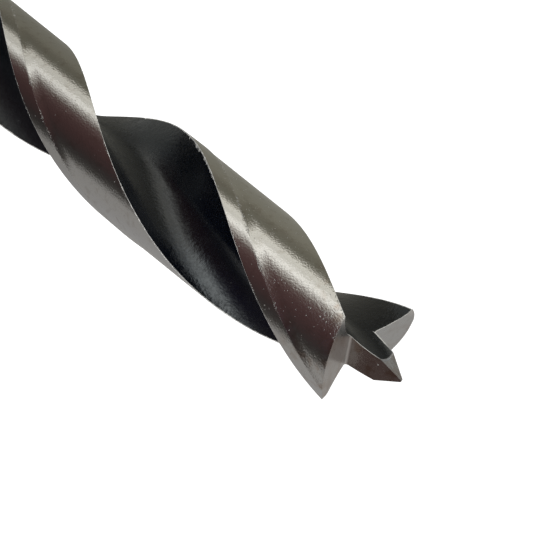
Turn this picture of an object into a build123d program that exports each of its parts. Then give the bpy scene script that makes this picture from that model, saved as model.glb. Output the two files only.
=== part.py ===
from build123d import *
from math import acos, atan2, cos, degrees, radians, sin, tan
import os

# A brad point drill bit for wood, ground from one bar of high speed steel. Lengths are in
# millimetres and angles in degrees. The bit stands on the end of its shank: Z runs up the axis
# to the tip of the brad, and at the height of the spurs the two lips lie along X.

# Overall sizes
cutting_diameter = 10.0
shank_diameter = 9.9
overall_length = 133.0
flute_length = 87.0
shank_chamfer = 0.8

# Twist and lands: each land has a narrow margin at full size along its cutting edge. A hollow
# step leads down from it, and the land falls away a little more towards its heel.
flute_lead = 57.5
land_angle = 78.7
margin_width = 1.43
margin_step = 0.09
margin_step_width = 0.7
heel_relief = 0.25

# Flute section: three arcs that run into each other, from the cutting edge to the heel
web_thickness = 1.66
floor_radius = 2.17
floor_direction = 54.4
rake_radius = 15.6
heel_radius = 3.65

# Where the flutes end, on the arc of the cutter that made them
runout_length = 22.0
cutter_radius = 62.0
core_end_radius = 0.4
neck_taper = 0.6

# Point: one pass of a formed wheel on each side leaves the flank, the lip, the spur and one
# side of the brad. The heights are below the tip of the brad, and the halves are measured from
# the axis to the brad's side.
brad_height = 4.45
brad_root_half = 1.28
brad_tip_half = 0.07
root_fillet = 0.22
lip_rise = 13.3
grind_skew = 37.1
grind_dip = 10.1

# Small facets on the other two sides, which bring the brad to a point
facet_angle = 23.0
facet_direction = 72.0
facet_tip_half = 0.08

# How far a cutting tool reaches past the steel that it cuts
tool_clearance = 1.0

cutting_radius = cutting_diameter / 2
shank_radius = shank_diameter / 2
web_radius = web_thickness / 2
shank_length = overall_length - flute_length
spur_drop = (
    brad_height
    - (cutting_radius * cos(radians(grind_skew)) - brad_root_half) * tan(radians(lip_rise))
    - cutting_radius * sin(radians(grind_skew)) * tan(radians(grind_dip))
)
spur_height = overall_length - spur_drop


def polar(radius, angle):
    """A point of the section at a radius from the axis and an angle from X."""
    return Vector(radius * cos(radians(angle)), radius * sin(radians(angle)))


def side_arc_centre(corner, floor_centre, side_radius, turn):
    """Centre of the arc from a land's corner that runs smoothly into the floor arc.

    It lies side_radius from the corner, and side_radius less floor_radius from the floor's
    centre. turn says on which side of the line between those two it falls.
    """
    line = floor_centre - corner
    reach = side_radius - floor_radius
    spread = acos((side_radius**2 + line.length**2 - reach**2) / (2 * side_radius * line.length))
    heading = atan2(line.Y, line.X) + turn * spread
    return corner + Vector(cos(heading), sin(heading)) * side_radius


def arc_about(centre, start, end):
    """The shorter arc about a centre from one point to another."""
    middle = ((start - centre) + (end - centre)).normalized()
    return ThreePointArc(start, centre + middle * (start - centre).length, end)


def flute_edges():
    """One flute of the section: the rake face from the cutting edge, the floor, the heel side."""
    cutting_corner = polar(cutting_radius, 0)
    heel_corner = polar(cutting_radius - heel_relief, 180 - land_angle)
    floor_centre = polar(web_radius + floor_radius, floor_direction)
    rake_centre = side_arc_centre(cutting_corner, floor_centre, rake_radius, -1)
    heel_centre = side_arc_centre(heel_corner, floor_centre, heel_radius, 1)
    rake_end = floor_centre + (floor_centre - rake_centre).normalized() * floor_radius
    heel_start = floor_centre + (floor_centre - heel_centre).normalized() * floor_radius
    rake = arc_about(rake_centre, cutting_corner, rake_end)
    floor = arc_about(floor_centre, rake_end, heel_start)
    heel = arc_about(heel_centre, heel_start, heel_corner)
    return [rake, floor, heel]


def land_edges():
    """The outside of the other land, from its heel to its cutting edge at 180 degrees.

    The hollow step leaves its foot level, so halfway up it has risen by a quarter.
    """
    hollow_rise = margin_step / 4
    heel_angle = 180 - land_angle
    margin_angle = 180 - degrees(margin_width / cutting_radius)
    step_angle = margin_angle - degrees(margin_step_width / cutting_radius)
    heel = polar(cutting_radius - heel_relief, heel_angle)
    back_middle = polar(cutting_radius - (heel_relief + margin_step) / 2, (heel_angle + step_angle) / 2)
    step_foot = polar(cutting_radius - margin_step, step_angle)
    hollow_middle = polar(cutting_radius - margin_step + hollow_rise, (step_angle + margin_angle) / 2)
    margin_back = polar(cutting_radius, margin_angle)
    margin_middle = polar(cutting_radius, (margin_angle + 180) / 2)
    relieved_back = ThreePointArc(heel, back_middle, step_foot)
    step = ThreePointArc(step_foot, hollow_middle, margin_back)
    margin = ThreePointArc(margin_back, margin_middle, polar(cutting_radius, 180))
    return [relieved_back, step, margin]


def fluted_body():
    """The section with its two lands, carried up the axis with a right-hand twist."""
    half = flute_edges() + land_edges()
    outline = half + [edge.rotate(Axis.Z, 180) for edge in half]
    start_angle = -360 * (spur_height - shank_length) / flute_lead
    turned = make_face(outline).rotate(Axis.Z, start_angle)
    section = turned.moved(Location((0, 0, shank_length))).face()
    twist = 360 * flute_length / flute_lead
    return Solid.extrude_linear_with_rotation(
        section, (0, 0, shank_length), (0, 0, flute_length), twist
    )


def neck():
    """The turned outside of the blank, which tapers from the lands' size to the shank's."""
    slope = (cutting_radius - shank_radius) / neck_taper
    clear_radius = cutting_radius + tool_clearance
    clear_height = shank_length + (clear_radius - shank_radius) / slope
    top = overall_length + tool_clearance
    outline = Polyline(
        (0, shank_length),
        (shank_radius, shank_length),
        (clear_radius, clear_height),
        (clear_radius, top),
        (0, top),
        close=True,
    )
    return revolve(Plane.XZ * make_face(outline.edges()), Axis.Z)


def shank_and_core():
    """The round shank, and the core that the flutes run out on, as one turned form.

    The side of the core is the arc of the cutter, so each flute grows shallow and ends in a
    scoop at the shank.
    """
    core_end = Vector(core_end_radius, shank_length + runout_length)
    shank_top = Vector(shank_radius, shank_length)
    shank = Polyline((0, 0), (shank_radius - shank_chamfer, 0), (shank_radius, shank_chamfer), shank_top)
    runout = RadiusArc(shank_top, core_end, cutter_radius)
    closing = Polyline(core_end, (0, core_end.Y), (0, 0))
    outline = make_face([*shank.edges(), runout, *closing.edges()])
    return revolve(Plane.XZ * outline, Axis.Z)


def grinding_pass():
    """What one pass of the formed wheel takes away, on the side of the lip along X.

    The wheel's profile is the flank, the rounded root and the side of the brad. It travels
    askew to the lip and sinks as it goes back, which relieves the flank behind the lip and
    leaves the corner of the land standing as a spur. The profile is square to that travel, so
    its heights are the upright ones times the cosine of the dip.
    """
    reach = 1.5 * cutting_diameter
    square = cos(radians(grind_dip))
    brad_draft = (brad_root_half - brad_tip_half) / brad_height
    root = Vector(brad_root_half, -brad_height * square)
    flank_end = root + Vector(reach, reach * tan(radians(lip_rise)) * square)
    over_brad = Vector(brad_tip_half - brad_draft * tool_clearance, tool_clearance * square)
    outline = Polyline(root, flank_end, (flank_end.X, over_brad.Y), over_brad, close=True)
    wheel = make_face(outline.edges())
    wheel = fillet(wheel.vertices().sort_by_distance(root)[0], root_fillet)
    across = Vector(cos(radians(grind_skew)), -sin(radians(grind_skew)), 0)
    back = Vector(-sin(radians(grind_skew)), -cos(radians(grind_skew)), -tan(radians(grind_dip)))
    wheel_plane = Plane((0, 0, overall_length), x_dir=across, z_dir=back)
    return extrude(wheel_plane * wheel, amount=reach, both=True)


def point_facet():
    """What is ground off one rake side of the brad, down from its tip."""
    outwards = Vector(cos(radians(facet_direction)), sin(radians(facet_direction)), 0)
    tip_edge = Vector(0, 0, overall_length) + outwards * facet_tip_half
    normal = outwards * cos(radians(facet_angle)) + Vector(0, 0, sin(radians(facet_angle)))
    facet_plane = Plane(tip_edge, z_dir=normal)
    beyond_facet = extrude(facet_plane * Rectangle(cutting_diameter, cutting_diameter), cutting_diameter)
    above_spurs = extrude(Plane.XY.offset(spur_height) * Circle(cutting_radius), spur_drop + tool_clearance)
    return beyond_facet & above_spurs


def drill_bit():
    """The whole bit, which is one piece."""
    bit = (fluted_body() & neck()) + shank_and_core()
    for ground_away in (grinding_pass(), point_facet()):
        bit = bit - ground_away - ground_away.rotate(Axis.Z, 180)
    return bit


os.makedirs("parts", exist_ok=True)
export_step(drill_bit(), "parts/drill_bit.step")
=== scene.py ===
from math import cos, pi, radians, sin, sqrt, tan

import bmesh
import bpy
import numpy as np
from mathutils import Matrix, Vector


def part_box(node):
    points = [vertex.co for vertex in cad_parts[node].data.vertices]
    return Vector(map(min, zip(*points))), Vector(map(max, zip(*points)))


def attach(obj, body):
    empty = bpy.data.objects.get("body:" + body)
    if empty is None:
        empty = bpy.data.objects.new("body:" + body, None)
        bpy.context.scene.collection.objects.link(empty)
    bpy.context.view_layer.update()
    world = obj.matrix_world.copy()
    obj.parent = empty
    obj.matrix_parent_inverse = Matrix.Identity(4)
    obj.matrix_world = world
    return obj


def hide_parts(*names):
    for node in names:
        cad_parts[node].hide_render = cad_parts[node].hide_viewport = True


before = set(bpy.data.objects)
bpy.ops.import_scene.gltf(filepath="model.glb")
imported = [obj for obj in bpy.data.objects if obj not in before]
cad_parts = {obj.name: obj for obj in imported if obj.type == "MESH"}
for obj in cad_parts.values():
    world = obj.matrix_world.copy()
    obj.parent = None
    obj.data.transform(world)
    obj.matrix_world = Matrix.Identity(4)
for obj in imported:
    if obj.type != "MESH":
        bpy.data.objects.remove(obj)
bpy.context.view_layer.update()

# The bar that the bit is ground from is high speed steel, turned round and straight. Its lower
# part stays plain as the shank, and its end is flat with a small chamfer. All sizes of the bit
# are in millimetres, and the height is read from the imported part.
MILLIMETRE = 0.001
overall_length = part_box("drill_bit")[1].z / MILLIMETRE
cutting_radius = 5.0
shank_radius = 4.95
shank_length = 46.0

# The section of the bit: two flutes and two lands, cut by a formed wheel along a right-hand
# helix. A point of the section is a complex number x + iy, so a turn is a multiplication. The
# lip along X is at angle 0 at the height of the spurs.
flute_lead = 57.5
land_angle = radians(78.7)
heel_relief = 0.25
margin_width = 1.43
step_height = 0.10
step_width = 1.0
edge_round = 0.035
web_radius = 0.83
floor_radius = 2.17
floor_direction = radians(54.4)
rake_radius = 15.6
heel_arc_radius = 3.65
outline_points = 1500
corner_points = 41


def polar(radius, angle):
    """The point at a radius from the axis and an angle from X."""
    return radius * np.exp(1j * angle)


def arc(centre, start, end):
    """The shorter arc about a centre: the start turned evenly through the angle to the end."""
    swing = np.angle((end - centre) / (start - centre))
    return centre + (start - centre) * np.exp(1j * swing * np.linspace(0, 1, outline_points))


def side_centre(corner, floor_centre, side_radius, hand):
    """Centre of the arc from a corner that runs smoothly into the floor arc.

    It is side_radius from the corner and side_radius less floor_radius from the floor's centre.
    The hand is 1 where it lies left of the line from corner to floor centre, and -1 where right.
    """
    line = floor_centre - corner
    reach = side_radius - floor_radius
    swing = np.arccos((side_radius**2 + abs(line)**2 - reach**2) / (2 * side_radius * abs(line)))
    return corner + side_radius * np.exp(1j * (np.angle(line) + hand * swing))


def arcs_meeting(floor_centre, centre):
    """Where the floor arc touches a larger arc: on the line of their centres."""
    line = floor_centre - centre
    return floor_centre + floor_radius * line / abs(line)


def flute_outline():
    """One flute from the cutting corner to the heel: rake arc, floor arc and heel arc."""
    corner = polar(cutting_radius, 0)
    heel = polar(cutting_radius - heel_relief, pi - land_angle)
    floor_centre = polar(web_radius + floor_radius, floor_direction)
    rake_centre = side_centre(corner, floor_centre, rake_radius, -1)
    heel_centre = side_centre(heel, floor_centre, heel_arc_radius, 1)
    rake_end = arcs_meeting(floor_centre, rake_centre)
    heel_start = arcs_meeting(floor_centre, heel_centre)
    return np.concatenate([
        arc(rake_centre, corner, rake_end),
        arc(floor_centre, rake_end, heel_start)[1:],
        arc(heel_centre, heel_start, heel)[1:],
    ])


margin_angle = pi - margin_width / cutting_radius
foot_angle = margin_angle - step_width / cutting_radius


def land_outline():
    """The outside of a land from its heel to its cutting corner at half a turn.

    The radius grows evenly from the heel towards the foot of the step, then rises on a hollow
    as the square of the way up the step, and is full size over the margin.
    """
    angle = np.linspace(pi - land_angle, pi, 3 * outline_points)
    back = (angle - angle[0]) / (foot_angle - angle[0])
    up_step = np.clip((angle - foot_angle) / (margin_angle - foot_angle), 0, 1)
    relief = heel_relief + (step_height - heel_relief) * np.clip(back, 0, 1)
    radius = cutting_radius - relief + step_height * up_step**2
    return polar(np.where(angle < margin_angle, radius, cutting_radius), angle)


def rounded_corner(before, corner, after):
    """A worn corner: the curve that leaves one side and joins the other, pulled to the corner."""
    share = np.linspace(0, 1, corner_points)
    return (1 - share)**2 * before + 2 * share * (1 - share) * corner + share**2 * after


def half_outline():
    """Half of the closed section, from the middle of one cutting corner to that of the other.

    It comes as its stretches: worn corner, flute, worn heel in two halves, land, worn corner.
    """
    flute = flute_outline()
    land = land_outline()
    flute_run = abs(flute - flute[0])
    flute_left = abs(flute - flute[-1])
    land_run = abs(land - land[0])
    land_left = abs(land - land[-1])
    flute = flute[(flute_run > edge_round) & (flute_left > edge_round)]
    land = land[(land_run > edge_round) & (land_left > edge_round)]
    cutting = rounded_corner(-land[-1], polar(cutting_radius, 0), flute[0])
    heel_corner = polar(cutting_radius - heel_relief, pi - land_angle)
    heel = rounded_corner(flute[-1], heel_corner, land[0])
    middle = len(cutting) // 2
    return [
        cutting[middle:-1],
        flute[:-1],
        heel[:middle],
        heel[middle:-1],
        land[:-1],
        -cutting[:middle + 1],
    ]


stretches = half_outline()
outline = np.concatenate(stretches)
outline_run = np.concatenate([[0], np.cumsum(abs(np.diff(outline)))])
stretch_starts = outline_run[np.cumsum([0] + [len(stretch) for stretch in stretches[:-1]])]

# The point is ground by one pass of a formed wheel on each side, which leaves the flank behind
# the lip, the spur at the corner and one side of the brad. Two small facets bring the brad to
# its tip. Depths are below the tip, and the passes are askew to the lips.
brad_height = 4.45
brad_root_half = 1.28
brad_tip_half = 0.07
root_fillet = 0.22
lip_rise = tan(radians(13.3))
grind_skew = radians(37.1)
dip_angle = radians(10.1)
grind_dip = tan(dip_angle)
dip_cosine = cos(dip_angle)
facet_slope = tan(radians(23.0))
facet_direction = radians(72.0)
facet_tip_half = 0.08
spur_wear = 0.15
spur_wear_reach = 0.38
search_depth = 2.5 * brad_height
halvings = 40
TURN = 2 * pi
brad_draft = (brad_root_half - brad_tip_half) / brad_height
spur_drop = (
    brad_height
    - (cutting_radius * cos(grind_skew) - brad_root_half) * lip_rise
    - cutting_radius * sin(grind_skew) * grind_dip
)


def fillet_circle():
    """Centre of the root's round in the wheel's profile, and where it meets flank and brad.

    The profile is square to the wheel's travel, with depths shortened by the dip's cosine. The
    centre is one radius clear of both the flank's line and the brad's.
    """
    flank_slope = lip_rise * dip_cosine
    brad_slope = brad_draft / dip_cosine
    flank_line = sqrt(1 + flank_slope**2)
    brad_line = sqrt(1 + brad_slope**2)
    flank_start = brad_height * dip_cosine + flank_slope * brad_root_half - root_fillet * flank_line
    brad_start = brad_tip_half + root_fillet * brad_line
    depth = (flank_start - flank_slope * brad_start) / (1 + flank_slope * brad_slope)
    across = brad_start + brad_slope * depth
    outer_end = across + root_fillet * flank_slope / flank_line
    inner_end = across - root_fillet / brad_line
    return across, depth, outer_end, inner_end


fillet_across, fillet_depth, fillet_outer, fillet_inner = fillet_circle()


def wheel_depth(across):
    """Depth of the wheel's profile: brad side, then the root's round, then the rising flank."""
    brad_side = (across - brad_tip_half) / brad_draft
    flank = brad_height - lip_rise * (across - brad_root_half)
    bulge = np.sqrt(np.clip(root_fillet**2 - (across - fillet_across)**2, 0, None))
    rounded = (fillet_depth + bulge) / dip_cosine
    return np.where(across < fillet_inner, brad_side, np.where(across < fillet_outer, rounded, flank))


def pass_depth(points, side):
    """Depth that the wheel's pass leaves on one side: its profile, sunk as it travels back."""
    seen = side * points * np.exp(1j * grind_skew)
    return wheel_depth(seen.real) - grind_dip * seen.imag


def facet_depth(points):
    """Depth of the two facets that point the brad. They reach no deeper than the spurs."""
    out = abs((points * np.exp(-1j * facet_direction)).real)
    return np.minimum((out - facet_tip_half) / facet_slope, spur_drop)


def worn_away(points):
    """How much the spurs have lost: a soft bump of depth at each cutting corner."""
    corner = polar(cutting_radius, 0)
    gap = np.minimum(abs(points - corner), abs(points + corner))
    return spur_wear * np.exp(-((gap / spur_wear_reach) ** 2))


def ground_depth(points):
    """Depth of the finished end below the tip: the deepest of the passes and the facets."""
    cut = np.maximum(pass_depth(points, 1), pass_depth(points, -1))
    return np.maximum(np.maximum(cut, facet_depth(points)), 0) + worn_away(points)


def turned(points, height):
    """Points of the section carried up the helix to a height."""
    turn = TURN * (height - (overall_length - spur_drop)) / flute_lead
    return points * np.exp(1j * turn)


def end_height(points):
    """Height at which each line along the flutes comes out of the ground end, by halving."""
    inside = np.full(len(points), overall_length - search_depth)
    outside = np.full(len(points), overall_length)
    for _ in range(halvings):
        middle = (inside + outside) / 2
        under = overall_length - middle > ground_depth(turned(points, middle))
        inside = np.where(under, middle, inside)
        outside = np.where(under, outside, middle)
    return inside


# The walls: the flutes and lands are one skin that follows the helix from the shank to the
# ground end. Its columns end exactly where the flank, the root, the brad and the facets meet.
# One row follows the crease where the cutter ran out, and the rows crowd at the ground end.
edge_columns = 3
flank_columns = 26
root_columns = 6
brad_columns = 14
facet_columns = 12
land_columns = 26
step_columns = 16
margin_columns = 10
neck_taper = 0.6
runout_length = 22.0
cutter_radius = 62.0
core_end_radius = 0.4
scoop_rows = 14
shallow_rows = 44
helix_rows = 100
end_rows = 30
end_zone = 9.0
end_crowding = 1.4
runout_clearance = 2.0
surfaces = []


def add_surface(points, along, edge_gap, finishes):
    """Keep a grid of the bit's surface, to be joined with the others at the end.

    points is rows by columns by x, y, z in millimetres. along is rows by columns by two lengths
    that follow the surface, and edge_gap the distance to the nearest sharp edge. finishes names
    what the surface shows: one name, or one for each strip between two columns.
    """
    strips = [finishes] * (points.shape[1] - 1) if isinstance(finishes, str) else finishes
    surfaces.append((points, along, edge_gap, strips))


def upright(plane_points, heights):
    """Points in space from complex numbers x + iy and their heights."""
    plane_points, heights = np.broadcast_arrays(plane_points, heights)
    return np.stack([plane_points.real, plane_points.imag, heights], axis=-1)


def even(start, end, count):
    """Evenly spaced runs of the outline, without the last."""
    return np.linspace(start, end, count + 1)[:-1]


def column_runs():
    """Runs of the outline at which the columns stand, and the column where each group starts.

    Where a line along the flutes comes out of the ground end tells which surface it ends on, by
    its distance across the wheel's profile, which falls all the way through the flute.
    """
    flute_start, heel_start, heel_middle, land_start, worn_start = stretch_starts[1:]
    in_flute = outline_run <= heel_middle
    run = outline_run[in_flute]
    ends = turned(outline[in_flute], end_height(outline[in_flute]))
    across = (ends * np.exp(1j * grind_skew)).real
    outer_swing = np.arcsin((fillet_outer - fillet_across) / root_fillet)
    inner_swing = np.arcsin((fillet_inner - fillet_across) / root_fillet)
    swing = np.linspace(outer_swing, inner_swing, root_columns + 1)
    root = np.interp(-(fillet_across + root_fillet * np.sin(swing)), -across, run)
    far_root = np.interp(fillet_across + root_fillet * np.sin(swing[::-1]), -across, run)
    wheel_cut = np.maximum(pass_depth(ends, 1), pass_depth(ends, -1))
    on_facet = np.nonzero(facet_depth(ends) > wheel_cut)[0]
    facet_start, facet_end = run[on_facet[0]], run[on_facet[-1]]
    outline_angle = np.unwrap(np.angle(outline))
    on_land = outline_angle[~in_flute], outline_run[~in_flute]
    foot, margin = np.interp([foot_angle, margin_angle], *on_land)
    groups = {
        "corner": even(0, flute_start, edge_columns),
        "flute": even(flute_start, root[0], flank_columns),
        "root": root[:-1],
        "brad": even(root[-1], facet_start, brad_columns),
        "facet": even(facet_start, facet_end, facet_columns),
        "far brad": even(facet_end, far_root[0], brad_columns),
        "far root": far_root[:-1],
        "far flank": even(far_root[-1], heel_start, flank_columns),
        "worn heel": even(heel_start, heel_middle, edge_columns),
        "heel": even(heel_middle, land_start, edge_columns),
        "land": even(land_start, foot, land_columns),
        "step": even(foot, margin, step_columns),
        "margin": even(margin, worn_start, margin_columns),
        "worn corner": even(worn_start, outline_run[-1], edge_columns),
    }
    starts = np.cumsum([0] + [len(group) for group in groups.values()])
    return np.concatenate(list(groups.values())), dict(zip([*groups, "end"], starts))


runs, mark = column_runs()
columns = np.interp(runs, outline_run, outline)
column_tops = end_height(columns)
column_ends = turned(columns, column_tops)
half_run = outline_run[-1]

arc_half = (shank_radius - core_end_radius) / 2 + 1j * runout_length / 2
arc_middle = (shank_radius + core_end_radius) / 2 + 1j * (shank_length + runout_length / 2)
arc_reach = sqrt(cutter_radius**2 - abs(arc_half)**2)
cutter_centre = arc_middle + np.conj(arc_half) / abs(arc_half) * 1j * arc_reach


def core_radius(height):
    """Radius of the core that the flutes run out on: the hollow arc of the cutter."""
    rise = np.clip(height - cutter_centre.imag, -cutter_radius, 0)
    return cutter_centre.real - np.sqrt(cutter_radius**2 - rise**2)


def core_height(radius):
    """Height at which the core has a radius, where the flutes come out of it."""
    reach = np.clip(cutter_centre.real - radius, -cutter_radius, cutter_radius)
    height = cutter_centre.imag - np.sqrt(cutter_radius**2 - reach**2)
    return np.clip(height, shank_length, None)


def wall_points(heights):
    """Points of half the skin at heights given for each row and column.

    Outside the core a column keeps its place in the section, under the taper of the neck.
    Where the core covers it, it is spread evenly over the core's arc between the two places
    where the core meets the section.
    """
    deepest = np.argmin(abs(outline))
    falling = abs(outline[:deepest + 1])[::-1]
    rising = np.maximum.accumulate(abs(outline[deepest:]))
    core = core_radius(heights)
    up_neck = np.clip((heights - shank_length) / neck_taper, 0, 1)
    neck = shank_radius + (cutting_radius - shank_radius) * up_neck
    start = np.interp(core, falling, outline_run[:deepest + 1][::-1])
    end = np.interp(core, rising, outline_run[deepest:])
    angles = np.unwrap(np.angle(outline))
    start_angle = np.interp(start, outline_run, angles)
    end_angle = np.interp(end, outline_run, angles)
    covered = (runs > start) & (runs < end)
    share = (runs - start) / np.maximum(end - start, 1e-9)
    core_angle = start_angle + share * (end_angle - start_angle)
    on_core = polar(core, core_angle)
    outside = columns * np.minimum(1, neck / abs(columns))
    return turned(np.where(covered, on_core, outside), heights)


def wall_heights():
    """Heights of the rows of each column, from the shank to the ground end.

    Each step's rows are even at a crowding of 1, and stand closer towards its top above that.
    """
    crease = core_height(abs(columns))
    clear = np.full(len(columns), shank_length + runout_length + runout_clearance)
    end_start = np.full(len(columns), overall_length - end_zone)
    steps = [
        (np.full(len(columns), shank_length), crease, scoop_rows, 1.0),
        (crease, clear, shallow_rows, 1.0),
        (clear, end_start, helix_rows, 1.0),
        (end_start, column_tops, end_rows, end_crowding),
    ]
    rows = [
        low + (high - low) * (1 - (1 - np.arange(count)[:, None] / count)**crowding)
        for low, high, count, crowding in steps
    ]
    return np.concatenate(rows + [column_tops[None, :]])


def closed(half, other_half):
    """Both halves of the skin and the first column again, so that it closes on itself."""
    return np.concatenate([half, other_half, half[:, :1]], axis=1)


row_heights = wall_heights()
half_skin = wall_points(row_heights)
skin = upright(closed(half_skin, -half_skin), closed(row_heights, row_heights))
run_rows = np.broadcast_to(runs, row_heights.shape)
skin_runs = np.concatenate([run_rows, run_rows + half_run, run_rows[:, :1] + 2 * half_run], axis=1)
corner_gap = np.minimum(runs, half_run - runs)
ridge_gap = np.minimum(abs(runs - runs[mark["heel"]]), abs(runs - runs[mark["margin"]]))
top_steepness = np.gradient(column_tops, runs)
top_gap = (column_tops - row_heights) / np.sqrt(1 + top_steepness**2)
half_gap = np.minimum(np.minimum(corner_gap, ridge_gap), top_gap)
strip_finish = (
    ["worn edge"] * (mark["flute"] - mark["corner"])
    + ["flute"] * (mark["worn heel"] - mark["flute"])
    + ["worn edge"] * (mark["land"] - mark["worn heel"])
    + ["land"] * (mark["margin"] - mark["land"])
    + ["margin"] * (mark["worn corner"] - mark["margin"])
    + ["worn edge"] * (mark["end"] - mark["worn corner"])
)
add_surface(
    skin,
    np.stack([skin_runs, closed(row_heights, row_heights)], axis=-1),
    closed(half_gap, half_gap),
    strip_finish * 2,
)

# The shank: the plain lower part of the bar, turned round, with a chamfer and a flat end.
shank_chamfer = 0.8
end_face_rings = 5
shank_rows = 24
column_angles = np.angle(skin[0, :, 0] + 1j * skin[0, :, 1])
end_radii = np.linspace(0, shank_radius - shank_chamfer, end_face_rings)
side_heights = np.linspace(shank_chamfer, shank_length, shank_rows)
profile_radius = np.concatenate([end_radii, np.full(shank_rows, shank_radius)])
profile_height = np.concatenate([np.zeros(end_face_rings), side_heights])
profile_steps = np.hypot(np.diff(profile_radius), np.diff(profile_height))
profile_run = np.concatenate([[0], np.cumsum(profile_steps)])
shank_angles = np.unwrap(column_angles)
# Of the shank's edges only the rim of the flat end is worn.
shank_gap = np.minimum(abs(profile_radius - end_radii[-1]), 1) + abs(profile_height)
add_surface(
    upright(profile_radius[:, None] * np.exp(1j * shank_angles), profile_height[:, None]),
    np.stack(np.broadcast_arrays(shank_angles * shank_radius, profile_run[:, None]), axis=-1),
    np.broadcast_to(shank_gap[:, None], (len(profile_radius), len(shank_angles))),
    "shank",
)

# The ground end: on each side a flat flank, a round root and one side of the brad, left by the
# wheel, then the two facets and the small flat at the tip. They share the columns of the walls.
tip_rows = 10


def lerp(start, end, shares):
    """Points on the straight lines between two rows of points, a row for each share."""
    return start + (end - start) * shares[:, None]


def filled(lip, outside, heel, root):
    """A four-sided patch between its edges: the sum of the two rulings less the corners' own.

    lip and heel run inwards from the outside of the bit, and outside and root from lip to heel.
    """
    u = np.linspace(0, 1, len(lip))[:, None]
    v = np.linspace(0, 1, len(outside))[None, :]
    ruled = (1 - v) * lip[:, None] + v * heel[:, None] + (1 - u) * outside + u * root
    corners = (
        (1 - u) * ((1 - v) * outside[0] + v * outside[-1]) + u * ((1 - v) * root[0] + v * root[-1])
    )
    return ruled - corners


def line_meeting(first_normal, first_reach, second_normal, second_reach):
    """Where two lines of the plane meet, each given by its normal and its reach along it."""
    turn = (np.conj(first_normal) * second_normal).imag
    return 1j * (second_reach * first_normal - first_reach * second_normal) / turn


def nearest(points, edges):
    """Distance from each point to the nearest point of some edges."""
    return np.min(abs(points[..., None] - edges), axis=-1)


def add_ground(side, points, heights, sharp_edges, finish):
    """Add a patch of the ground end on one side of the bit, and lay its marks along the wheel."""
    seen = points * np.exp(1j * grind_skew)
    along = np.stack([-seen.imag, seen.real], axis=-1)
    add_surface(upright(side * points, heights), along, nearest(points, sharp_edges), finish)


def between(first, last):
    """The columns from the start of one group to the start of another, with both."""
    return slice(mark[first], mark[last] + 1)


other_ends = -column_ends
lip_points = column_ends[between("corner", "root")]
heel_points = other_ends[between("far flank", "heel")][::-1]
outside_points = np.append(other_ends[mark["heel"]:], column_ends[0])[::-1]
across_shares = np.linspace(0, 1, len(outside_points))
root_points = lip_points[-1] + (heel_points[-1] - lip_points[-1]) * across_shares
flank_points = filled(lip_points, outside_points, heel_points, root_points)
flank_heights = overall_length - pass_depth(flank_points, 1) - worn_away(flank_points)
flank_edges = np.concatenate([lip_points, outside_points, heel_points])

near_rim = upright(column_ends, column_tops)
far_rim = upright(other_ends, column_tops)
root_left = near_rim[between("root", "brad")]
root_right = far_rim[between("far root", "far flank")][::-1]
brad_left = near_rim[between("brad", "facet")]
brad_right = far_rim[between("far brad", "far root")][::-1]

brad_normal = np.exp(-1j * grind_skew) * (1 - 1j * brad_draft * grind_dip)
facet_normal = np.exp(1j * facet_direction)
tip_near = line_meeting(brad_normal, brad_tip_half, facet_normal, facet_tip_half)
tip_far = line_meeting(brad_normal, brad_tip_half, facet_normal, -facet_tip_half)
tip_corners = upright(np.array([tip_near, tip_far, -tip_near, -tip_far]), overall_length)
tip_shares = np.linspace(0, 1, tip_rows + 1)
near_crease = lerp(brad_left[-1], tip_corners[0], tip_shares)
far_crease = lerp(brad_right[-1], tip_corners[1], tip_shares)
brad_left = np.concatenate([brad_left, near_crease[1:]])
brad_right = np.concatenate([brad_right, far_crease[1:]])
facet_foot = near_rim[between("facet", "far brad")]
facet_shares = np.linspace(0, 1, facet_columns + 1)
facet_head = lerp(tip_corners[0], tip_corners[3], facet_shares)
facet_patch = facet_foot + (facet_head - facet_foot) * tip_shares[:, None, None]


def across_patch(left, right):
    """A patch of straight lines from the points of its left edge to those of its right."""
    return left[:, None] + (right - left)[:, None] * across_shares[None, :, None]


def plan(points):
    """The points seen from above, as complex numbers."""
    return points[..., 0] + 1j * points[..., 1]


root_patch = across_patch(root_left, root_right)
brad_patch = across_patch(brad_left, brad_right)
tip_patch = lerp(tip_corners[0], tip_corners[1], across_shares)[:, None] + (
    (tip_corners[3] - tip_corners[0]) * facet_shares[None, :, None]
)
root_edges = plan(np.concatenate([root_left, root_right]))
brad_edges = plan(np.concatenate([brad_left, brad_right]))
facet_edges = plan(np.concatenate([near_crease, facet_foot, facet_head]))
for side in (1, -1):
    add_ground(side, flank_points, flank_heights, flank_edges, "flank")
    add_ground(side, plan(root_patch), root_patch[..., 2], root_edges, "root")
    add_ground(side, plan(brad_patch), brad_patch[..., 2], brad_edges, "brad")
    add_ground(side, plan(facet_patch), facet_patch[..., 2], facet_edges, "facet")
add_ground(1, plan(tip_patch), tip_patch[..., 2], facet_edges, "facet")

# The whole bit is one piece of steel, so its surfaces are joined to one closed mesh. Edges
# where the surface turns sharply stay crisp, and the rest is shaded smooth.
weld_distance = 0.0002 * MILLIMETRE
crisp_angle = radians(26)
finish_names = ["land", "margin", "worn edge", "flute", "shank", "flank", "root", "brad", "facet"]


def grid_cells(index):
    """The four corners of each cell of a grid, from the numbers of its points."""
    return np.stack([index[:-1, :-1], index[:-1, 1:], index[1:, 1:], index[1:, :-1]], axis=-1)


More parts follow.
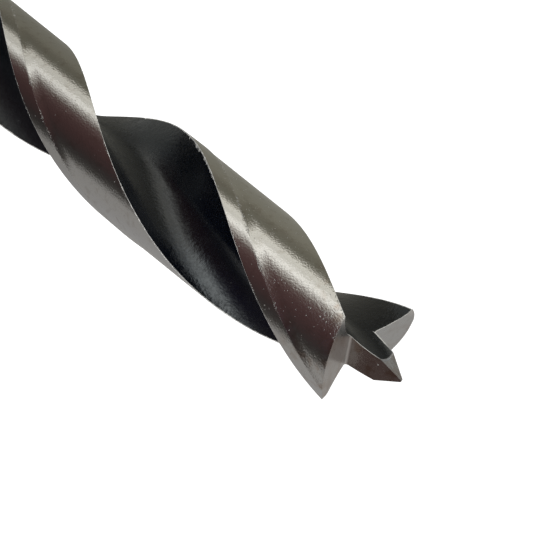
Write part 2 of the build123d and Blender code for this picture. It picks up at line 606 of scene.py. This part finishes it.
def joined_mesh(name):
    """One mesh of every kept grid: each cell is a face, and points that coincide are one."""
    corners, along, gaps, faces, finish = [], [], [], [], []
    first = 0
    for points, surface_along, edge_gap, strips in surfaces:
        rows, count = points.shape[:2]
        index = first + np.arange(rows * count).reshape(rows, count)
        cells = grid_cells(index)
        numbers = np.array([finish_names.index(strip) for strip in strips])
        corners.append(points.reshape(-1, 3))
        along.append(surface_along.reshape(-1, 2))
        gaps.append(edge_gap.reshape(-1))
        faces.append(cells.reshape(-1, 4))
        finish.append(np.broadcast_to(numbers, cells.shape[:2]).reshape(-1))
        first += rows * count
    faces = np.concatenate(faces)
    mesh = bpy.data.meshes.new(name)
    mesh.from_pydata(np.concatenate(corners) * MILLIMETRE, [], faces)
    uv = mesh.uv_layers.new(name="along_surface")
    uv.data.foreach_set("uv", np.concatenate(along)[faces.ravel()].astype(np.float32).ravel())
    gap = mesh.attributes.new("edge_gap", "FLOAT", "POINT")
    gap.data.foreach_set("value", np.concatenate(gaps).astype(np.float32))
    mesh.polygons.foreach_set("material_index", np.concatenate(finish).astype(np.int32))
    shell = bmesh.new()
    shell.from_mesh(mesh)
    bmesh.ops.remove_doubles(shell, verts=shell.verts, dist=weld_distance)
    bmesh.ops.dissolve_degenerate(shell, edges=shell.edges, dist=weld_distance)
    bmesh.ops.recalc_face_normals(shell, faces=shell.faces)
    shell.to_mesh(mesh)
    shell.free()
    mesh.polygons.foreach_set("use_smooth", np.ones(len(mesh.polygons), bool))
    mesh.set_sharp_from_angle(angle=crisp_angle)
    mesh.update()
    return mesh


bit = bpy.data.objects.new("ground_bit", joined_mesh("ground_bit"))
bpy.context.scene.collection.objects.link(bit)
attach(bit, "root")
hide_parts("drill_bit")

# Finishes of the bit. The steel is bare where it was ground, and the flutes keep the black oxide
# of the heat treatment. The colour, gloss and relief of each finish are painted by fields in
# the metal: a fine grain, soft patches, loose specks, chips and the lines that the wheel left.
# Chips and worn edges are near white, which is real wear with a painted glint.


def add_node(tree, kind, inputs, **settings):
    """A node of a tree, with its settings, and a value or a feeding socket for each input."""
    node = tree.nodes.new(kind)
    for name, value in settings.items():
        setattr(node, name, value)
    for name, value in inputs.items():
        if isinstance(value, bpy.types.NodeSocket):
            tree.links.new(value, node.inputs[name])
        else:
            node.inputs[name].default_value = value
    return node


def maths(tree, operation, first, second=0.0, third=0.0):
    """The result of one sum on two or three values or sockets."""
    inputs = {0: first, 1: second, 2: third}
    return add_node(tree, "ShaderNodeMath", inputs, operation=operation).outputs[0]


def spread(tree, value, low, high, start=0.0, end=1.0):
    """A value carried smoothly from low and high to start and end, and level outside them."""
    inputs = {"Value": value, "From Min": low, "From Max": high, "To Min": start, "To Max": end}
    curve = add_node(tree, "ShaderNodeMapRange", inputs, interpolation_type="SMOOTHSTEP")
    return curve.outputs["Result"]


def blend(tree, share, first, second):
    """The first colour where the share is 0 and the second where it is 1."""
    inputs = {0: share, 6: first, 7: second}
    return add_node(tree, "ShaderNodeMix", inputs, data_type="RGBA").outputs[2]


def noise(tree, place, scale, detail=2.0):
    """A soft noise at a place, finer with a greater scale."""
    inputs = {"Vector": place, "Scale": scale, "Detail": detail}
    return add_node(tree, "ShaderNodeTexNoise", inputs).outputs["Fac"]


def coordinate(tree, vector, axis):
    """One coordinate of a vector."""
    return add_node(tree, "ShaderNodeSeparateXYZ", {"Vector": vector}).outputs[axis]


def node_group(name, inputs, outputs):
    """An empty node group with named sockets, and the sockets of the nodes at its two ends."""
    group = bpy.data.node_groups.new(name, "ShaderNodeTree")
    for socket, kind in inputs.items():
        group.interface.new_socket(socket, in_out="INPUT", socket_type=kind)
    for socket in outputs:
        group.interface.new_socket(socket, in_out="OUTPUT", socket_type="NodeSocketFloat")
    given = group.nodes.new("NodeGroupInput").outputs
    made = group.nodes.new("NodeGroupOutput").inputs
    return group, given, made


def grain_group():
    """Grain of the metal: a fine noise on a coarser one, both even in all directions."""
    sockets = {"Place": "NodeSocketVector", "Fineness": "NodeSocketFloat"}
    group, given, made = node_group("metal_grain", sockets, ["Height", "Patches"])
    fine = noise(group, given["Place"], given["Fineness"])
    coarse = noise(group, given["Place"], maths(group, "MULTIPLY", given["Fineness"], 0.22), 3.0)
    lift = maths(group, "MULTIPLY", coarse, 0.6)
    group.links.new(maths(group, "ADD", fine, lift), made["Height"])
    group.links.new(coarse, made["Patches"])
    return group


def speck_group():
    """Loose specks: an uneven spot of its own size and strength in a share of the metal's cells."""
    sockets = {"Place": "NodeSocketVector", "Fineness": "NodeSocketFloat", "Share": "NodeSocketFloat"}
    group, given, made = node_group("metal_specks", sockets, ["Mask"])
    inputs = {"Vector": given["Place"], "Scale": given["Fineness"]}
    cells = add_node(group, "ShaderNodeTexVoronoi", inputs).outputs
    chance = add_node(group, "ShaderNodeSeparateColor", {"Color": cells["Color"]}).outputs
    present = maths(group, "LESS_THAN", chance["Red"], given["Share"])
    strength = maths(group, "MULTIPLY", present, spread(group, chance["Blue"], 0.35, 1.0, 0.15, 1.0))
    ragged = noise(group, given["Place"], maths(group, "MULTIPLY", given["Fineness"], 5.0))
    size = maths(group, "MULTIPLY", ragged, spread(group, chance["Green"], 0.0, 1.0, 0.12, 0.42))
    inside = maths(group, "SUBTRACT", size, cells["Distance"])
    spot = spread(group, inside, -0.02, 0.06)
    group.links.new(maths(group, "MULTIPLY", spot, strength), made["Mask"])
    return group


def line_group():
    """Lines that the wheel left: noise drawn out along the first coordinate of the surface."""
    sockets = {"Along": "NodeSocketVector", "Closeness": "NodeSocketFloat"}
    group, given, made = node_group("wheel_lines", sockets, ["Height"])
    stretch = add_node(group, "ShaderNodeCombineXYZ", {"X": 0.35, "Y": given["Closeness"], "Z": 1.0})
    inputs = {0: given["Along"], 1: stretch.outputs[0]}
    drawn = add_node(group, "ShaderNodeVectorMath", inputs, operation="MULTIPLY")
    group.links.new(noise(group, drawn.outputs[0], 1.0, 3.0), made["Height"])
    return group


def chip_group():
    """Chips along the edges: where a noise is high, within a reach of the edge that frays."""
    sockets = {"Place": "NodeSocketVector", "Edge Gap": "NodeSocketFloat", "Reach": "NodeSocketFloat"}
    group, given, made = node_group("edge_chips", sockets, ["Mask"])
    fine = noise(group, given["Place"], 4200.0)
    coarse = noise(group, given["Place"], 700.0)
    reach = maths(group, "MULTIPLY", given["Reach"], spread(group, coarse, 0.46, 0.64))
    near = maths(group, "LESS_THAN", given["Edge Gap"], reach)
    chips = maths(group, "MULTIPLY", spread(group, fine, 0.48, 0.56), near)
    group.links.new(chips, made["Mask"])
    return group


metal_grain = grain_group()
metal_specks = speck_group()
wheel_lines = line_group()
edge_chips = chip_group()


def place_group(tree, group, inputs):
    """The outputs of a shared group placed in a material."""
    return add_node(tree, "ShaderNodeGroup", inputs, node_tree=group).outputs


def empty_material(name):
    """A new material and its tree, with no node yet."""
    material = bpy.data.materials.new(name)
    material.use_nodes = True
    material.node_tree.nodes.clear()
    return material, material.node_tree


def add_shader(tree, kind, inputs):
    """The shader of a material, led to its output."""
    shader = add_node(tree, kind, inputs)
    add_node(tree, "ShaderNodeOutputMaterial", {"Surface": shader.outputs[0]})


def relief(tree, height, depth):
    """The normal of a surface with a relief this deep, in metres, for a height from 0 to 1."""
    return add_node(tree, "ShaderNodeBump", {"Height": height, "Distance": depth}).outputs["Normal"]


def bit_fields(tree):
    """A point's place in metres, its place along the surface and its edge gap in millimetres."""
    place = add_node(tree, "ShaderNodeTexCoord", {}).outputs["Object"]
    along = add_node(tree, "ShaderNodeUVMap", {}, uv_map="along_surface").outputs["UV"]
    edge_gap = add_node(tree, "ShaderNodeAttribute", {}, attribute_name="edge_gap").outputs["Fac"]
    return place, along, edge_gap


steel = (0.617, 0.618, 0.608, 1)
dull_steel = (0.50, 0.482, 0.456, 1)
dust = (0.46, 0.44, 0.42, 1)
heat_tint = (0.40, 0.31, 0.25, 1)
# Near white for chips and worn edges: real wear, with a painted glint, as it is brighter than the
# steel.
wear_and_painted_glint = (0.85, 0.84, 0.80, 1)
flute_chips_within = 2.0


def ground_steel(name, grain_depth, line_depth, closeness, speck_share, stain, sheen, chip_reach):
    """Bare ground steel: bright, finely grained, lined by the wheel, with specks and stains.

    The grain and the lines are as deep as given, in metres. The sheen is the roughness where the
    metal is smoothest, and the edges are notched as far in as the chips reach, in millimetres.
    """
    material, tree = empty_material(name)
    place, along, edge_gap = bit_fields(tree)
    grain = place_group(tree, metal_grain, {"Place": place, "Fineness": 6800.0})
    lines = place_group(tree, wheel_lines, {"Along": along, "Closeness": closeness})["Height"]
    height = coordinate(tree, place, "Z")
    share = spread(tree, height, 0.100, 0.116, 0.2 * speck_share, speck_share)
    specks = place_group(tree, metal_specks, {"Place": place, "Fineness": 3900.0, "Share": share})
    stained = spread(tree, grain["Patches"], 0.50, 0.72, 0.0, stain)
    stained_steel = blend(tree, stained, steel, dull_steel)
    smudges = place_group(tree, metal_grain, {"Place": place, "Fineness": 5000.0})["Patches"]
    by_edge = spread(tree, edge_gap, 0.3, 1.6, stain, 0.0)
    by_end = maths(tree, "MULTIPLY", by_edge, spread(tree, height, 0.121, 0.128))
    burnt = maths(tree, "MULTIPLY", spread(tree, smudges, 0.46, 0.66), by_end)
    bare = blend(tree, burnt, stained_steel, heat_tint)
    frayed = maths(tree, "MULTIPLY_ADD", grain["Height"], 0.05, edge_gap)
    worn = spread(tree, frayed, 0.05, 0.09, 0.45, 0.0)
    chips = {"Place": place, "Edge Gap": edge_gap, "Reach": chip_reach}
    chipped = place_group(tree, edge_chips, chips)["Mask"]
    matt = maths(tree, "MAXIMUM", specks["Mask"], worn)
    light = maths(tree, "MULTIPLY", matt, 0.35)
    gloss = spread(tree, grain["Height"], 0.5, 1.1, sheen, sheen + 0.08)
    lined = maths(tree, "MULTIPLY", lines, line_depth / grain_depth)
    pimpled = maths(tree, "MULTIPLY", specks["Mask"], 2.0)
    notched = maths(tree, "MULTIPLY", chipped, 2.5)
    raised = maths(tree, "ADD", maths(tree, "ADD", grain["Height"], lined), pimpled)
    uneven = maths(tree, "SUBTRACT", raised, notched)
    add_shader(tree, "ShaderNodeBsdfPrincipled", {
        "Base Color": blend(tree, light, bare, dust),
        "Metallic": spread(tree, light, 0.0, 1.0, 1.0, 0.2),
        "Roughness": maths(tree, "MULTIPLY_ADD", matt, 0.25, gloss),
        "Anisotropic": 0.2,
        "Anisotropic Rotation": 0.25,
        "Normal": relief(tree, uneven, grain_depth),
    })
    return material


def worn_steel_and_glints():
    """The worn edges: bright steel with a rougher grain, and near-white chips, a painted glint."""
    material, tree = empty_material("worn_edge_and_glints")
    place = add_node(tree, "ShaderNodeTexCoord", {}).outputs["Object"]
    grain = place_group(tree, metal_grain, {"Place": place, "Fineness": 9000.0})
    nicks_and_glints = place_group(tree, edge_chips, {"Place": place, "Edge Gap": 0.0, "Reach": 0.1})["Mask"]
    add_shader(tree, "ShaderNodeBsdfPrincipled", {
        # The chips take a near-white, barely metallic colour: a painted glint on real chips.
        "Base Color": blend(tree, nicks_and_glints, steel, wear_and_painted_glint),
        "Metallic": spread(tree, nicks_and_glints, 0.0, 1.0, 0.6, 0.1),
        "Roughness": spread(tree, grain["Height"], 0.5, 1.1, 0.25, 0.45),
        "Normal": relief(tree, grain["Height"], 1.6e-5),
    })
    return material


def black_oxide():
    """The flutes: a near-black oxide, mottled, bare along its edges and duller far from the point.

    Only the cutting edge is chipped, so the chips stay within a short run from it. The rim at
    the end of the brad is worn less than the other edges. Worn and chipped edges are painted
    near white and barely metallic: a painted glint on real wear.
    """
    material, tree = empty_material("black_oxide")
    place, along, edge_gap = bit_fields(tree)
    grain = place_group(tree, metal_grain, {"Place": place, "Fineness": 4400.0})
    mottle = place_group(tree, metal_grain, {"Place": place, "Fineness": 1700.0})
    specks = place_group(tree, metal_specks, {"Place": place, "Fineness": 3600.0, "Share": 0.08})
    frayed = maths(tree, "MULTIPLY_ADD", mottle["Height"], 0.10, edge_gap)
    height = coordinate(tree, place, "Z")
    off_brad = spread(tree, height, 0.1290, 0.1312, 1.0, 0.2)
    rubbed_and_glint = maths(tree, "MULTIPLY", spread(tree, frayed, 0.12, 0.18, 1.0, 0.0), off_brad)
    run = coordinate(tree, along, "X")
    by_lip = maths(tree, "LESS_THAN", maths(tree, "MODULO", run, half_run), flute_chips_within)
    reach = maths(tree, "MULTIPLY", by_lip, spread(tree, height, 0.122, 0.126, 0.26, 0.0))
    chips = {"Place": place, "Edge Gap": edge_gap, "Reach": reach}
    bare = maths(tree, "MAXIMUM", rubbed_and_glint, place_group(tree, edge_chips, chips)["Mask"])
    patches = spread(tree, mottle["Patches"], 0.4, 0.7)
    oxide = blend(tree, patches, (0.0012, 0.0022, 0.0050, 1), (0.0030, 0.0042, 0.0066, 1))
    dusty = blend(tree, specks["Mask"], oxide, (0.055, 0.058, 0.058, 1))
    gloss = spread(tree, grain["Height"], 0.55, 1.05, 0.12, 0.32)
    dulled = spread(tree, height, 0.085, 0.115, 0.22, 0.0)
    lines = place_group(tree, wheel_lines, {"Along": along, "Closeness": 4.0})["Height"]
    mottled = maths(tree, "MULTIPLY_ADD", mottle["Height"], 1.6, grain["Height"])
    uneven = maths(tree, "ADD", mottled, lines)
    add_shader(tree, "ShaderNodeBsdfPrincipled", {
        # Worn and chipped edges painted near white: a painted glint on real wear.
        "Base Color": blend(tree, bare, dusty, wear_and_painted_glint),
        "Metallic": maths(tree, "MULTIPLY", bare, 0.3),
        "Roughness": maths(tree, "ADD", gloss, dulled),
        "IOR": 1.66,
        "Specular Tint": (0.94, 0.98, 1.0, 1),
        "Normal": relief(tree, uneven, 1.5e-5),
    })
    return material


finishes = {
    "land": ground_steel(
        "ground_land", grain_depth=1.5e-5, line_depth=1e-6, closeness=9.0,
        speck_share=0.50, stain=0.6, sheen=0.05, chip_reach=0.16,
    ),
    "margin": ground_steel(
        "ground_margin", grain_depth=1.3e-5, line_depth=1e-6, closeness=9.0,
        speck_share=0.40, stain=0.4, sheen=0.05, chip_reach=0.14,
    ),
    "worn edge": worn_steel_and_glints(),
    "flute": black_oxide(),
    "shank": ground_steel(
        "ground_shank", grain_depth=8e-6, line_depth=2e-6, closeness=12.0,
        speck_share=0.05, stain=0.3, sheen=0.14, chip_reach=0.0,
    ),
    "flank": ground_steel(
        "ground_flank", grain_depth=7e-6, line_depth=6e-6, closeness=7.0,
        speck_share=0.06, stain=0.32, sheen=0.27, chip_reach=0.04,
    ),
    "root": ground_steel(
        "ground_root", grain_depth=5e-6, line_depth=6e-6, closeness=7.0,
        speck_share=0.04, stain=0.5, sheen=0.42, chip_reach=0.0,
    ),
    "brad": ground_steel(
        "ground_brad", grain_depth=7e-6, line_depth=2e-6, closeness=7.0,
        speck_share=0.25, stain=0.7, sheen=0.14, chip_reach=0.03,
    ),
    "facet": ground_steel(
        "ground_facet", grain_depth=9e-6, line_depth=4e-6, closeness=7.0,
        speck_share=0.04, stain=0.3, sheen=0.16, chip_reach=0.03,
    ),
}
for name in finish_names:
    bit.data.materials.append(finishes[name])

# The camera stands where the photograph was taken: a little above the tip, looking down the
# side of the bit and turned over, so that the bit hangs into the picture from the upper left.
camera_place = Vector((23.80, -86.82, overall_length + 33.69)) * MILLIMETRE
camera_target = Vector((-0.34, -0.10, overall_length - 14.80)) * MILLIMETRE
camera_roll = radians(128.68)
camera_data = bpy.data.cameras.new("photo_camera")
camera_data.lens = 86.77
camera_data.sensor_width = 36.0
camera_data.clip_start = 0.001
camera_data.clip_end = 10.0
camera = bpy.data.objects.new("photo_camera", camera_data)
look = (camera_target - camera_place).to_track_quat("-Z", "Y").to_matrix().to_4x4()
camera.matrix_world = Matrix.Translation(camera_place) @ look @ Matrix.Rotation(camera_roll, 4, "Z")
bpy.context.scene.collection.objects.link(camera)
bpy.context.scene.camera = camera

# Bare steel shows only what it mirrors. So a drum of card stands round the bit, seen by nothing
# but reflections: a dim olive wall at the camera's left, a bright window beside the camera, a
# dark brown bench at its right and grey behind the bit. Angles are from the camera's side.
drum_radius = 75.0
wall_height = 150.0
hood_height = 110.0
drum_columns = 181
wall_rows = 31
floor_rows = 8
hood_rows = 13
floor_level = 0.3
shank_clearance = 2.0
camera_angle = np.arctan2(camera_place.y, camera_place.x)
around_drum = np.exp(1j * (camera_angle + np.linspace(-pi, pi, drum_columns)))


def stage_object(name, points, material):
    """A piece of the studio: one grid of points in millimetres, with a share round and up."""
    rows, count = points.shape[:2]
    index = np.arange(rows * count).reshape(rows, count)
    cells = grid_cells(index)
    mesh = bpy.data.meshes.new(name)
    mesh.from_pydata(points.reshape(-1, 3) * MILLIMETRE, [], cells.reshape(-1, 4))
    uv = mesh.uv_layers.new(name="round_and_up")
    share = np.stack(np.meshgrid(np.linspace(0, 1, count), np.linspace(0, 1, rows)), axis=-1)
    uv.data.foreach_set("uv", share.reshape(-1, 2)[cells.ravel()].astype(np.float32).ravel())
    mesh.materials.append(material)
    piece = bpy.data.objects.new(name, mesh)
    bpy.context.scene.collection.objects.link(piece)
    return piece


def tone_ramp(tree, share, tones):
    """The tone at a share of the way round the drum."""
    ramp = add_node(tree, "ShaderNodeValToRGB", {"Fac": share})
    stops = ramp.color_ramp.elements
    for _ in tones[2:]:
        stops.new(1.0)
    for stop, (angle, tone) in zip(stops, tones):
        stop.position = (angle + 180) / 360
        stop.color = (*tone, 1)
    return ramp.outputs["Color"]


def card_material(name, low_tones, high_tones, change, foot_level):
    """Card that glows with its own tones round the drum.

    They go over from the low ones to the high ones between two shares of the card's height, and
    are dimmed to the foot level towards the foot.
    """
    material, tree = empty_material(name)
    place = add_node(tree, "ShaderNodeUVMap", {}, uv_map="round_and_up").outputs["UV"]
    share = add_node(tree, "ShaderNodeSeparateXYZ", {"Vector": place}).outputs
    low = tone_ramp(tree, share["X"], low_tones)
    high = tone_ramp(tree, share["X"], high_tones)
    tone = blend(tree, spread(tree, share["Y"], *change), low, high)
    strength = spread(tree, share["Y"], 0.1, 0.6, foot_level, 1.0)
    add_shader(tree, "ShaderNodeEmission", {"Color": tone, "Strength": strength})
    return material


wall_tones = [
    (-180, (0.36, 0.345, 0.32)),
    (-150, (0.30, 0.29, 0.25)),
    (-125, (0.27, 0.26, 0.215)),
    (-96, (0.26, 0.245, 0.195)),
    (-82, (0.195, 0.18, 0.14)),
    (-71, (0.19, 0.18, 0.14)),
    (-66, (0.21, 0.20, 0.16)),
    (-60, (0.35, 0.33, 0.28)),
    (-57, (0.62, 0.59, 0.51)),
    (-54, (1.04, 1.00, 0.90)),
    (-51, (0.98, 0.95, 0.85)),
    (-45, (0.83, 0.80, 0.72)),
    (-41, (0.88, 0.85, 0.77)),
    (-35, (1.38, 1.34, 1.25)),
    (-32, (1.28, 1.25, 1.17)),
    (-28, (0.86, 0.83, 0.77)),
    (-22, (0.54, 0.50, 0.46)),
    (-15, (0.18, 0.145, 0.13)),
    (-8, (0.14, 0.09, 0.085)),
    (0, (0.097, 0.056, 0.053)),
    (16, (0.077, 0.042, 0.041)),
    (34, (0.056, 0.036, 0.035)),
    (47, (0.045, 0.038, 0.037)),
    (60, (0.075, 0.07, 0.065)),
    (75, (0.37, 0.355, 0.34)),
    (90, (0.38, 0.365, 0.35)),
    (125, (0.39, 0.38, 0.375)),
    (150, (0.38, 0.37, 0.36)),
    (180, (0.36, 0.345, 0.32)),
]
ledge_tones = [
    (-180, (0.37, 0.345, 0.325)),
    (-160, (0.37, 0.35, 0.33)),
    (-130, (0.38, 0.40, 0.35)),
    (-100, (0.38, 0.38, 0.34)),
    (-85, (0.19, 0.21, 0.23)),
    (-68, (0.22, 0.22, 0.215)),
    (-60, (0.33, 0.36, 0.40)),
    (-48, (0.90, 0.94, 0.95)),
    (-38, (1.65, 1.72, 1.72)),
    (-28, (2.15, 2.22, 2.18)),
    (-14, (2.20, 2.25, 2.21)),
    (-6, (1.20, 1.23, 1.24)),
    (3, (0.33, 0.32, 0.35)),
    (14, (0.09, 0.07, 0.10)),
    (30, (0.055, 0.038, 0.065)),
    (50, (0.055, 0.036, 0.045)),
    (66, (0.073, 0.048, 0.042)),
    (80, (0.11, 0.09, 0.08)),
    (110, (0.34, 0.33, 0.32)),
    (180, (0.37, 0.345, 0.325)),
]
floor_tones = [
    (-180, (0.40, 0.40, 0.38)),
    (-90, (0.34, 0.345, 0.32)),
    (-40, (0.28, 0.295, 0.28)),
    (0, (0.17, 0.18, 0.185)),
    (40, (0.05, 0.052, 0.055)),
    (140, (0.06, 0.06, 0.06)),
    (180, (0.40, 0.40, 0.38)),
]
hood_tones = [
    (-180, (0.37, 0.35, 0.33)),
    (-150, (0.37, 0.35, 0.33)),
    (-70, (0.21, 0.195, 0.175)),
    (-30, (0.60, 0.60, 0.58)),
    (20, (0.12, 0.10, 0.09)),
    (66, (0.11, 0.085, 0.075)),
    (90, (0.16, 0.14, 0.13)),
    (130, (0.36, 0.35, 0.345)),
    (168, (0.38, 0.38, 0.375)),
    (180, (0.37, 0.35, 0.33)),
]
crown_tones = [
    (-180, (0.50, 0.48, 0.46)),
    (66, (0.38, 0.33, 0.31)),
    (180, (0.50, 0.48, 0.46)),
]

wall_levels = np.linspace(0, wall_height, wall_rows)[:, None]
floor_radii = np.linspace(shank_radius + shank_clearance, drum_radius, floor_rows)[:, None]
hood_swing = np.linspace(0, pi / 2, hood_rows)[:, None]
hood_radii = drum_radius * np.cos(hood_swing)
hood_levels = wall_height + hood_height * np.sin(hood_swing)
cards = [
    ("card_wall", drum_radius, wall_levels, wall_tones, ledge_tones, (0.68, 0.83), 0.76),
    ("card_floor", floor_radii, floor_level, floor_tones, floor_tones, (0.0, 1.0), 1.0),
    ("card_hood", hood_radii, hood_levels, hood_tones, crown_tones, (0.12, 0.25), 1.0),
]
for name, radii, levels, low_tones, high_tones, change, foot_level in cards:
    paint = card_material(name, low_tones, high_tones, change, foot_level)
    card = stage_object(name, upright(radii * around_drum, levels), paint)
    card.visible_camera = False
    card.visible_diffuse = False
    card.visible_shadow = False
    card.visible_transmission = False

# The room: a wide white floor, which shows white to the camera and in reflections and keeps the
# bit's shadow, and white air behind it.
floor_reach = 3000.0
floor_columns = 97


def white_seen(tree, seen, unseen):
    """The level of a white surface: as seen by the camera or in a reflection, and otherwise."""
    path = add_node(tree, "ShaderNodeLightPath", {}).outputs
    direct = maths(tree, "MAXIMUM", path["Is Camera Ray"], path["Is Glossy Ray"])
    direct = maths(tree, "MAXIMUM", direct, path["Is Transmission Ray"])
    inputs = {"Value": direct, "To Min": unseen, "To Max": seen}
    return add_node(tree, "ShaderNodeMapRange", inputs).outputs["Result"]


floor_material, floor_tree = empty_material("white_floor")
add_shader(floor_tree, "ShaderNodeBsdfPrincipled", {
    "Base Color": (0.55, 0.55, 0.55, 1),
    "Roughness": 0.9,
    "Specular IOR Level": 0.0,
    "Emission Color": (1, 1, 1, 1),
    "Emission Strength": white_seen(floor_tree, 0.70, 0.0),
})
floor_rings = np.array([0.0, 150.0, 600.0, floor_reach])[:, None]
around_floor = np.exp(1j * np.linspace(0, TURN, floor_columns))
stage_object("floor", upright(floor_rings * around_floor, 0.0), floor_material)

world = bpy.data.worlds.new("white_air")
world.use_nodes = True
world_background = world.node_tree.nodes["Background"]
world_background.inputs["Color"].default_value = (1, 1, 1, 1)
world.node_tree.links.new(white_seen(world.node_tree, 1.0, 0.55), world_background.inputs["Strength"])
bpy.context.scene.world = world


def soft_lamp(name, place, size, power):
    """A square soft lamp that looks at the middle of the bit and shows in no reflection."""
    lamp = bpy.data.lights.new(name, "AREA")
    lamp.shape = "SQUARE"
    lamp.size = size
    lamp.energy = power
    aim = Vector((0, 0, overall_length / 2 * MILLIMETRE)) - Vector(place)
    lamp_object = bpy.data.objects.new(name, lamp)
    turn = aim.to_track_quat("-Z", "Y").to_matrix().to_4x4()
    lamp_object.matrix_world = Matrix.Translation(place) @ turn
    lamp_object.visible_camera = False
    lamp_object.visible_glossy = False
    bpy.context.scene.collection.objects.link(lamp_object)


soft_lamp("key_lamp", (-0.45, -0.35, 0.60), 0.5, 4.0)
soft_lamp("fill_lamp", (0.50, -0.10, 0.55), 0.5, 2.5)

bpy.context.scene.view_settings.view_transform = "Standard"
bpy.context.view_layer.update()
